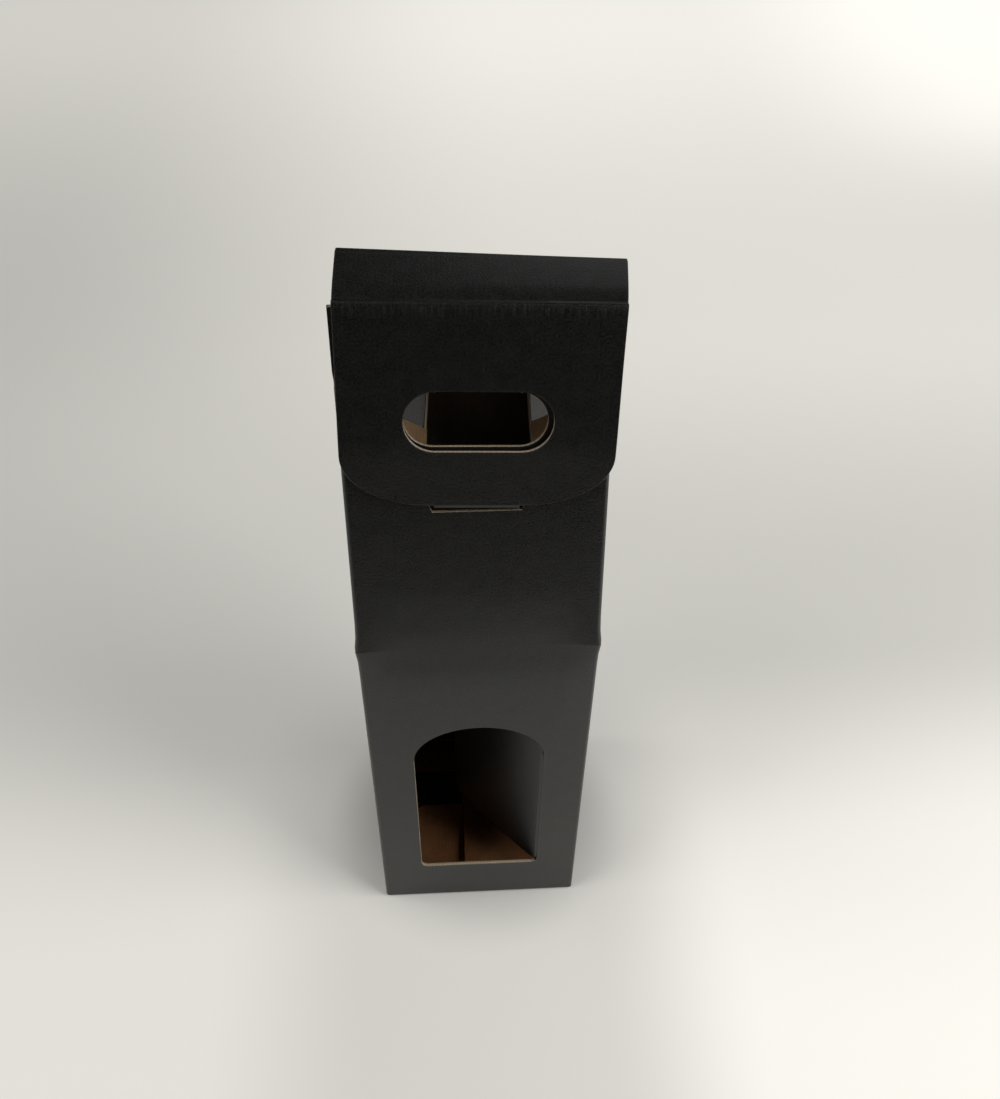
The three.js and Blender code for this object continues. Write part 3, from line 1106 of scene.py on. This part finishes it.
def makeGusset(strip, node, side):
    line = strip["line"]
    low = foldAt(line, 1)
    shape = stripShape(strip, plainEnds)
    rows = [alongLeg(line, 2, gusset["foot"]), alongLeg(line, 2, gusset["head"])]
    planes = []
    for shoulder, hand in ((front, side), (back, -side)):
        place = hand * (webBent + gusset["inWeb"]), alongLeg(shoulder["line"], 3, gusset["upShoulder"])
        planes.append(planeOf(stripShape(shoulder, webEnds), *place))

    def edgeAt(plane, v):
        return crossing(lambda u: shape(u, v, 0), -halfDepth, halfDepth, plane), v

    first, last = ([edgeAt(plane, v) for v in rows] for plane in planes[::side])
    outline = [(first[0][0], low), (last[0][0], low), last[0], last[1], first[1], first[0]]
    sides = sidesOf(outline)
    makePanel(node, "carton", {
        "outline": outline,
        "cuts": (gridLines(first[0][0], last[0][0]), foldCuts(line, 1) + gridLines(low, rows[1])),
        "seams": sides[:3] + sides[4:],  # only the head is raw
        "folds": [sides[0], sides[2], sides[4]],
        "shape": shape,
        "cap": 1,
    })


for node, shoulder in shoulders.items():
    makeShoulder(node, shoulder)
for node, web in webs.items():
    makeWeb(node, web)
makeGusset(left, "left_gusset", -1)
makeGusset(right, "right_gusset", 1)
print("shoulders, webs and gussets folded")


# Lock base: the hooked front flap lies on two side flaps, and the back flap's hook over it
lock = {
    "half": halfWidth - board - folding["gap"],
    "short": 22.0,
    "seam": 7.0,
    "hookWidth": 24.0,
    "corner": 5.0,
    "heel": 9,
    "shoulder": 10.0,
    "slant": 6.0,
    "sideHalf": 37.2,
    "sideEdge": 30.0,
    "curl": 3.6,  # the upper hook's end stands up
    "curlRun": 0.6,
}


def makeMainFlap(strip, node, seam, reach, curl):
    line = strip["line"]
    high = foldAt(line, 1)
    half = lock["half"]
    corner = lock["corner"]
    fold = level(half, high)
    ring = [*fold, (half, reach - lock["heel"]), (half - lock["slant"], reach - lock["short"]),
            (seam, reach - lock["short"]), (seam, 0)]
    ring += curve((corner - lock["seam"] - lock["hookWidth"], corner), (corner, corner), 270, 180, 8)
    ring += [(-half, reach - lock["shoulder"])]

    def swell(u, v):
        return -curl * (1 - fadeIn(v, 0, reach * lock["curlRun"]))

    makePanel(node, "carton", {
        "outline": ring,
        "cuts": (gridLines(-half, half), gridLines(0, high) + foldCuts(line, 0, 3) + foldCuts(line, 1, 8)),
        "seams": [fold],
        "shape": stripShape(strip, plainEnds, swell),
        "skins": bounceTintBaseSkins,
    })


def makeSideFlap(strip, node):
    line = strip["line"]
    high = foldAt(line, 0)
    half = lock["sideHalf"]
    fold = level(half, high)
    heel = level(half, high - lock["heel"])
    makePanel(node, "carton", {
        "outline": [*level(lock["sideEdge"], 0), heel[1], fold[1], fold[0], heel[0]],
        "cuts": (gridLines(-half, half), gridLines(0, high) + foldCuts(line, 0, 8)),
        "seams": [fold],
        "shape": stripShape(strip, plainEnds),
        "skins": shadedWallSkins,
    })


backSeam = lock["seam"] - folding["gap"]
makeMainFlap(front, "base_front_flap", -lock["seam"], halfDepth + base["front"][1].y, 0.0)
makeMainFlap(back, "base_back_flap", backSeam, halfDepth - base["back"][0].y, lock["curl"])
makeSideFlap(left, "base_left_flap")
makeSideFlap(right, "base_right_flap")
print("base locked")


# Lid: back crease, top, front crease, hanging flap, tab crease and tab
lid = {
    "flapCorner": 19.0,
    "flapFlat": 15.0,
    "tabHalf": 14.5,
    "tabCorner": 4.0,
    "tabFlat": 0.9,
    "lift": 0.7,  # of the flap's lower corners
    "bow": 1.0,
    "wave": (31.2, 36, 0.22),
    "droop": 0.4,
    "dip": 1.15,
    "dipRun": 8.0,
    "rowStep": 2.0,
}


def creaseSpan(fold, flat):
    return foldAt(back["line"], fold, 0) - flat, foldAt(back["line"], fold, 1) + flat


backCrease = creaseSpan(3, folding["creaseFlat"])
frontCrease = creaseSpan(4, folding["creaseFlat"])
tabCrease = creaseSpan(5, lid["tabFlat"])


def lidDroop(u, v):
    # The top sags towards its front fold, most of all just before it
    sag = lid["droop"] * fadeIn(v, backCrease[1] + 4, frontCrease[0])
    sag += lid["dip"] * within((v - frontCrease[0] + lid["dipRun"]) / lid["dipRun"]) ** 2
    return -sag * (1 - fadeIn(v, *frontCrease))


lidShape = stripShape(back, plainEnds, lidDroop, settleLid)


def lidStrip(low, high, rows, folds, ticks=()):
    # A strip across the lid, from one seam to the next
    return {
        "outline": [*low, high[1], high[0]],
        "cuts": (gridLines(high[0][0], high[1][0]), rows),
        "seams": [low, high],
        "folds": folds,
        "ticks": ticks,
        "shape": lidShape,
    }


def makeLidCrease(name, fold, span, half, bodies, foot=None):
    rows = foldCuts(back["line"], fold, 12)
    low, high = level(foot or half, span[0]), level(half, span[1])
    marks = [[level(half, foldAt(back["line"], fold))]]
    if name == "lid_front_crease":
        marks = [[], [high]]  # stretched coat, not a rubbed line
    piece = cutBoard(name, lidStrip(low, high, rows, *marks))
    finishCrease(piece, bodies, *(lidShape(0, row, -board / 2) for row in (rows[0], rows[-1])))


def makeLidTop():
    low, high = (level(lidHigh.x, v) for v in (backCrease[1], frontCrease[0]))
    rows = gridLines(backCrease[1], frontCrease[0], lid["rowStep"])
    makePanel("lid_top", "lid_top", lidStrip(low, high, rows, [low]))


def makeLidFlap():
    top = frontCrease[1]
    foot = alongLeg(back["line"], 5, foldOver)
    bottom = foot + flapLength
    tabTop = tabCrease[0]
    straight = bottom - lid["flapCorner"]
    half = lidHigh.x
    rounding = (half - lid["flapFlat"], lid["flapCorner"])
    fold, tabFold = level(half, top), level(lid["tabHalf"], tabTop)
    tabFoot = level(lid["tabHalf"], bottom)
    ring = [*fold] + curve((lid["flapFlat"], straight), rounding, 0, 90, 20)
    ring += [tabFoot[1], tabFold[1], tabFold[0], tabFoot[0]]
    ring += curve((-lid["flapFlat"], straight), rounding, 90, 180, 20)
    hole = handHole(foot + grip["drop"])
    for u in grip["nicks"]:
        hole = nick(hole, (u, foot + grip["drop"] - grip["height"] / 2))
    bulge = wave(*lid["wave"])

    def swell(u, v):
        down = fadeIn(v - top, 8, 60)
        corner = fadeIn(abs(u), 18, half) * fadeIn(v, straight - 20, bottom)
        bowed = lid["bow"] * fadeIn(v - top, 10, 48) * fadeIn(tabTop - v, 0, 26)
        uneven = bulge(u, v) * fadeIn(v - top, 2, 20) * fadeIn(tabTop - v, 1, 12)
        return lid["lift"] * corner * down + bowed + uneven

    makePanel("lid_flap", "lid_flap", {
        "outline": ring,
        "holes": [hole],
        "cuts": (gridLines(-half, half), gridLines(top, bottom)),
        "seams": [fold, tabFold],
        "folds": [tabFold],
        "ticks": [fold],
        "shape": stripShape(back, plainEnds, swell, settleLid),
    })


def makeTuckTab():
    low = tabCrease[1]
    high = alongLeg(back["line"], 6, tabLength)
    half = lid["tabHalf"]
    corner = lid["tabCorner"]
    seam = level(half, low)
    ring = [*seam] + curve((half - corner, high - corner), (corner, corner), 0, 90, 8)
    ring += curve((corner - half, high - corner), (corner, corner), 90, 180, 8)
    makePanel("tuck_tab", "tuck_tab", {
        "outline": ring,
        "cuts": (gridLines(-half, half), gridLines(low, high, lid["rowStep"])),
        "seams": [seam],
        "shape": lidShape,
    })


makeLidCrease("lid_back_crease", 3, backCrease, lidHigh.x, ("carton", "lid_top"), halfWidth)
makeLidTop()
makeLidCrease("lid_front_crease", 4, frontCrease, lidHigh.x, ("lid_top", "lid_flap"))
makeLidFlap()
makeLidCrease("tuck_tab_crease", 5, tabCrease, lid["tabHalf"], ("lid_flap", "tuck_tab"))
makeTuckTab()
print("lid closed and tucked in")


# Window flap, standing open inwards from the window's right side
windowFlap = {
    "open": math.radians(45),
    "reach": 70,
    "wallRun": 20,
    "flat": 1.0,
    "curl": 0.0022,  # bend on inwards, in radians for each millimetre
    "behind": 0.8,  # the crease's ends lie this far behind the wall round the window
}
windowMitre = board * math.tan(windowFlap["open"] / 2)
windowCorner = Vector((windowHinge.x - windowMitre, -halfDepth))
windowAlong = Vector((-math.cos(windowFlap["open"]), math.sin(windowFlap["open"])))
windowLine = foldLine([windowCorner + windowAlong * windowFlap["reach"], windowCorner,
                       windowCorner + Vector((windowFlap["wallRun"], 0))], [folding["window"]])
windowCrease = (foldAt(windowLine, 0, 0) - windowFlap["flat"], alongLeg(windowLine, 1, windowMitre))


def windowShape(u, v, lift):
    # u is the height; the free side of the flap bends on inwards
    at = onLine(windowLine, v, lift)
    run = max(windowCrease[0] - v, 0)
    bend = windowFlap["curl"] * run * run / 2
    inwards = Vector((math.sin(windowFlap["open"]), math.cos(windowFlap["open"]), 0))
    return Vector((at.x, at.y, u)) + inwards * bend


def makeWindowFlap():
    hinge = alongLeg(windowLine, 0, windowFlap["reach"]) - windowMitre
    edge, near = windowCrease

    def ringAt(inset):
        return [(z, hinge - window["half"] + x) for x, z in windowRing(inset)]

    def endAt(inside, outside):
        # Height where the outline crosses the flap's edge at the crease
        return outside[0] + (inside[0] - outside[0]) * (edge - outside[1]) / (inside[1] - outside[1])

    ring = ringAt(folding["gap"])
    crease = [spot for spot in ring if spot[1] > edge]
    free = [spot for spot in ring if spot[1] <= edge]
    after = ring[ring.index(crease[-1]) + 1]
    low = endAt(crease[0], ring[ring.index(crease[0]) - 1])
    high = endAt(crease[-1], after)
    straight = [(window["sill"] + window["corner"], near), (window["spring"], near)]
    behind = [spot for spot in ringAt(-windowFlap["behind"]) if edge + 0.1 < spot[1] < near]
    rise = [spot for spot in behind if spot[0] < straight[0][0] - 0.05]
    fall = [spot for spot in behind if spot[0] > straight[1][0] + 0.05]
    first = free.index(after)
    seam = ((low, edge), (high, edge))
    middle = foldAt(windowLine, 0)
    makePanel("window_flap", "window_flap", {
        "outline": [seam[1]] + free[first:] + free[:first] + [seam[0]],
        "cuts": (gridLines(window["sill"], window["crown"]), gridLines(min(v for z, v in ring), edge)),
        "seams": [seam],
        "shape": windowShape,
        "turned": True,
    })
    strip = cutBoard("window_crease", {
        "outline": [seam[0]] + rise + straight + fall + [seam[1]],
        "cuts": (gridLines(low, high), foldCuts(windowLine, 0, 10)),
        "seams": [seam, tuple(straight)],
        "folds": [((low, middle), (high, middle))],
        "shape": windowShape,
        "skins": [black, skins[1], black],
        "turned": True,
    })
    ends = (windowShape((low + high) / 2, v, -board / 2) for v in (near, foldAt(windowLine, 0, 0)))
    finishCrease(strip, ("carton", "window_flap"), *ends)


makeWindowFlap()
print("window flap hung")


# Floor, lights and camera
floorLook = {
    "near": -0.52,
    "far": 2.6,
    "half": 2.2,
    "tone": (0.80, 0.782, 0.725, 1),
    "shade": 0.97,
    "rough": 0.6,
    "shine": 0.3,
}
# Painted light on the pale sheet, seen by the camera and in reflections alone, so that it puts no light on
# the carton: brighter far back, behind and to the right, with painted shadow straight in front of the carton
floorGlow = {
    "all": 0.12,
    "far": 0.37,
    "behind": 0.20,
    "farRight": 0.20,
    "near": 0.15,
    "nearRight": 0.14,
    "shadowInFront": 0.15,  # share of the near glow left straight in front, as painted shadow of the carton
    "tint": (1.0, 0.98, 0.91, 1),
}


def floorGlowMask(tree, place):
    x, y = newNode(tree, "SeparateXYZ", {0: place}).outputs[:2]
    away = newNode(tree, "VectorMath", {0: place}, operation="LENGTH").outputs["Value"]
    far = rangeNode(tree, y, 0.35, 1.3, 0.0, floorGlow["far"])
    behind = rangeNode(tree, y, 0.15, 0.45, 0.0, floorGlow["behind"])
    farRight = rangeNode(tree, y, 0.6, 0.9, 0.0, floorGlow["farRight"])
    aside = rangeNode(tree, mathNode(tree, "ABSOLUTE", x), 0.05, 0.13, floorGlow["shadowInFront"], 1.0)
    # Painted shadow: the near glow drops straight in front of the carton
    near = times(tree, rangeNode(tree, y, 0.11, -0.03), aside)
    nearAll = floorGlow["near"] + floorGlow["nearRight"]
    glow = sumOf(tree, [
        (behind, rangeNode(tree, x, -0.4, 0.1)),
        (farRight, rangeNode(tree, x, 0.3, 0.7)),
        (near, rangeNode(tree, x, -0.1, 0.1, floorGlow["near"], nearAll)),
    ], mathNode(tree, "ADD", far, floorGlow["all"]))
    return times(tree, glow, rangeNode(tree, away, 0.045, 0.08))  # none under the carton


def makeFloor():
    mesh = bpy.data.meshes.new("studio_floor")
    x, low, high = floorLook["half"], floorLook["near"], floorLook["far"]
    mesh.from_pydata([(-x, low, 0), (x, low, 0), (x, high, 0), (-x, high, 0)], [], [(0, 1, 2, 3)])
    floor = bpy.data.objects.new("studio_floor", mesh)
    bpy.context.scene.collection.objects.link(floor)
    material, tree, shader = newMaterial("paleFloor")
    place = newNode(tree, "TexCoord").outputs["Object"]
    shade = [floorLook["shade"] * channel for channel in floorLook["tone"][:3]] + [1]
    colour = mixColours(tree, noiseNode(tree, place, 3.0, 3.0), floorLook["tone"], shade)
    tree.links.new(colour, shader.inputs["Base Color"])
    shader.inputs["Roughness"].default_value = floorLook["rough"]
    shader.inputs["Specular IOR Level"].default_value = floorLook["shine"]
    ray = newNode(tree, "LightPath").outputs
    seen = mathNode(tree, "ADD", ray["Is Camera Ray"], ray["Is Glossy Ray"])
    seen = mathNode(tree, "ADD", seen, ray["Is Transmission Ray"], clamp=True)
    shader.inputs["Emission Color"].default_value = floorGlow["tint"]
    tree.links.new(times(tree, seen, floorGlowMask(tree, place)), shader.inputs["Emission Strength"])
    mesh.materials.append(material)


# Soft boxes round the carton: degrees from the front towards its right, degrees up, metres away
softLights = {
    "rightKey": {"around": 70, "up": 37, "away": 1.35, "size": 0.9, "power": 12.1},
    "leftKey": {"around": -80, "up": 50, "away": 1.35, "size": 0.9, "power": 7.5},
    "rearGlow": {"around": 160, "up": 27, "away": 1.35, "size": 0.7, "power": 0.55},
}
lightAim = Vector((0, 0, 0.12))
worldLight = {"tint": (1.0, 0.99, 0.96, 1), "strength": 0.02}


def makeLights():
    for name, lamp in softLights.items():
        light = bpy.data.lights.new(name, "AREA")
        light.shape = "SQUARE"
        light.size = lamp["size"]
        light.energy = lamp["power"]
        holder = bpy.data.objects.new(name, light)
        bpy.context.scene.collection.objects.link(holder)
        around, high = math.radians(lamp["around"]), math.radians(lamp["up"])
        away = Vector((math.sin(around) * math.cos(high), -math.cos(around) * math.cos(high), math.sin(high)))
        holder.location = lightAim + away * lamp["away"]
        holder.rotation_euler = away.to_track_quat("Z", "Y").to_euler()
    world = bpy.data.worlds.new("studio")
    world.use_nodes = True
    background = world.node_tree.nodes["Background"]
    background.inputs["Color"].default_value = worldLight["tint"]
    background.inputs["Strength"].default_value = worldLight["strength"]
    bpy.context.scene.world = world


# Viewpoint worked out from the carton's edges in the photograph; focal and long are in its pixels
photoView = {
    "at": (-9.95, -296.1, 485.86),
    "yaw": 3.89,
    "pitch": 44.718,
    "roll": 1.031,
    "focal": 1055.97,
    "long": 1099,
    "sensor": 36,
}


def makeCamera():
    yaw, pitch, roll = (math.radians(photoView[key]) for key in ("yaw", "pitch", "roll"))
    side = Vector((math.cos(yaw), -math.sin(yaw), 0))
    ahead = Vector((math.sin(yaw) * math.cos(pitch), math.cos(yaw) * math.cos(pitch), -math.sin(pitch)))
    above = side.cross(ahead)
    rolledSide = side * math.cos(roll) + above * math.sin(roll)
    rolledUp = above * math.cos(roll) - side * math.sin(roll)
    lens = bpy.data.cameras.new("photoView")
    lens.sensor_width = photoView["sensor"]
    lens.lens = photoView["sensor"] * photoView["focal"] / photoView["long"]
    lens.clip_start = 0.01
    camera = bpy.data.objects.new("photoView", lens)
    turned = Matrix((rolledSide, rolledUp, -ahead)).transposed().to_4x4()
    camera.matrix_world = Matrix.Translation(Vector(photoView["at"]) * mm) @ turned
    bpy.context.scene.collection.objects.link(camera)
    bpy.context.scene.camera = camera


makeFloor()
makeLights()
makeCamera()
bpy.context.scene.view_settings.view_transform = "Standard"
print("studio set")
